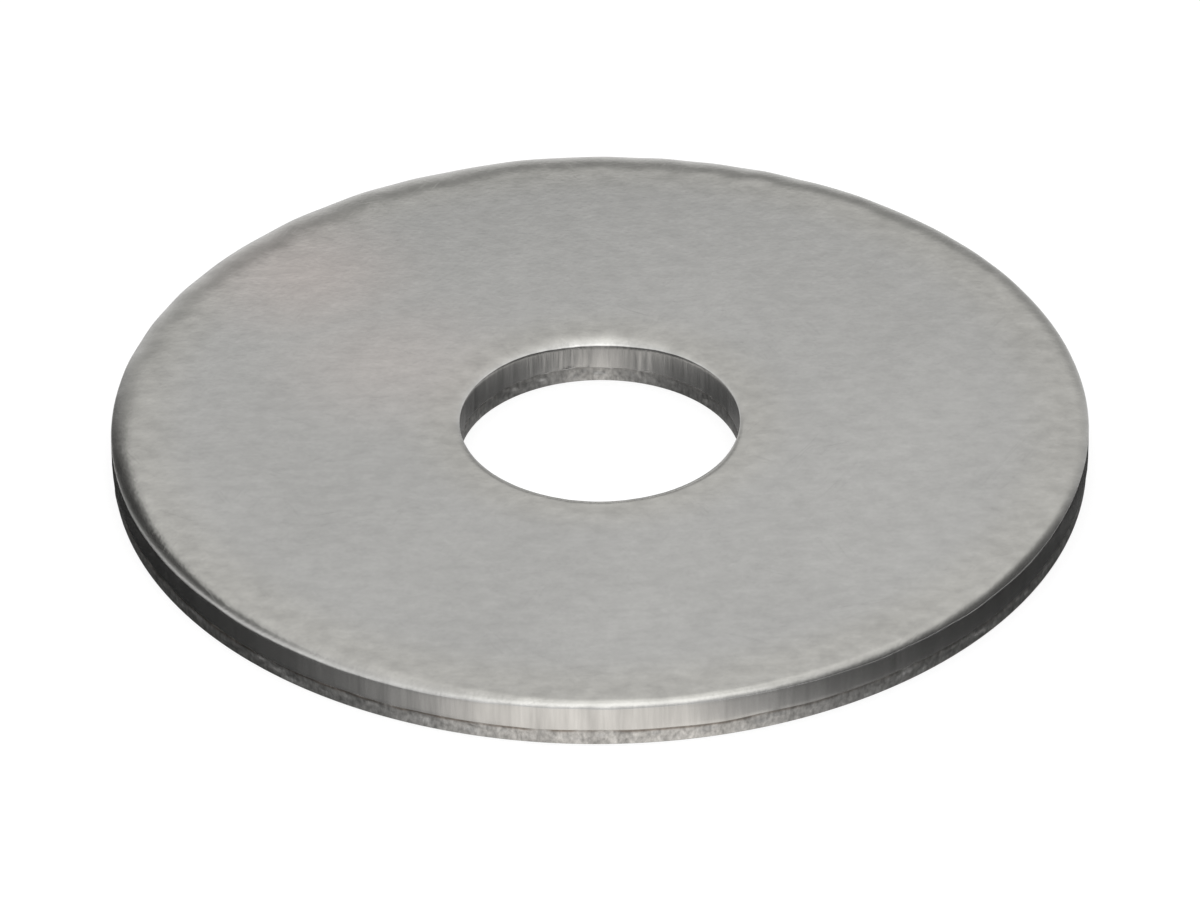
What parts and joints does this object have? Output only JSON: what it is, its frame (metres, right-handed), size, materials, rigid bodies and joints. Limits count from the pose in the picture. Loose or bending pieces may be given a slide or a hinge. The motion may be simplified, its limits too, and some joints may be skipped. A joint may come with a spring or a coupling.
{
  "type": "flat washer",
  "caption": "Wide, thin flat washer with a small round central hole: it spreads the clamping load of a bolt head or nut over a large area.",
  "frame": {"origin": "centre of the hole, on the lower face that the washer lies on", "axes": "+Z along the hole's axis, from the lower face to the upper face, whose corners are rolled over; X and Y are alike, because the washer is round"},
  "size_m": [0.03, 0.03, 0.0015],
  "materials": {
    "punched_steel": "satin"
  },
  "bodies": {
    "root": {"washer": "punched_steel"}
  },
  "joints": []
}
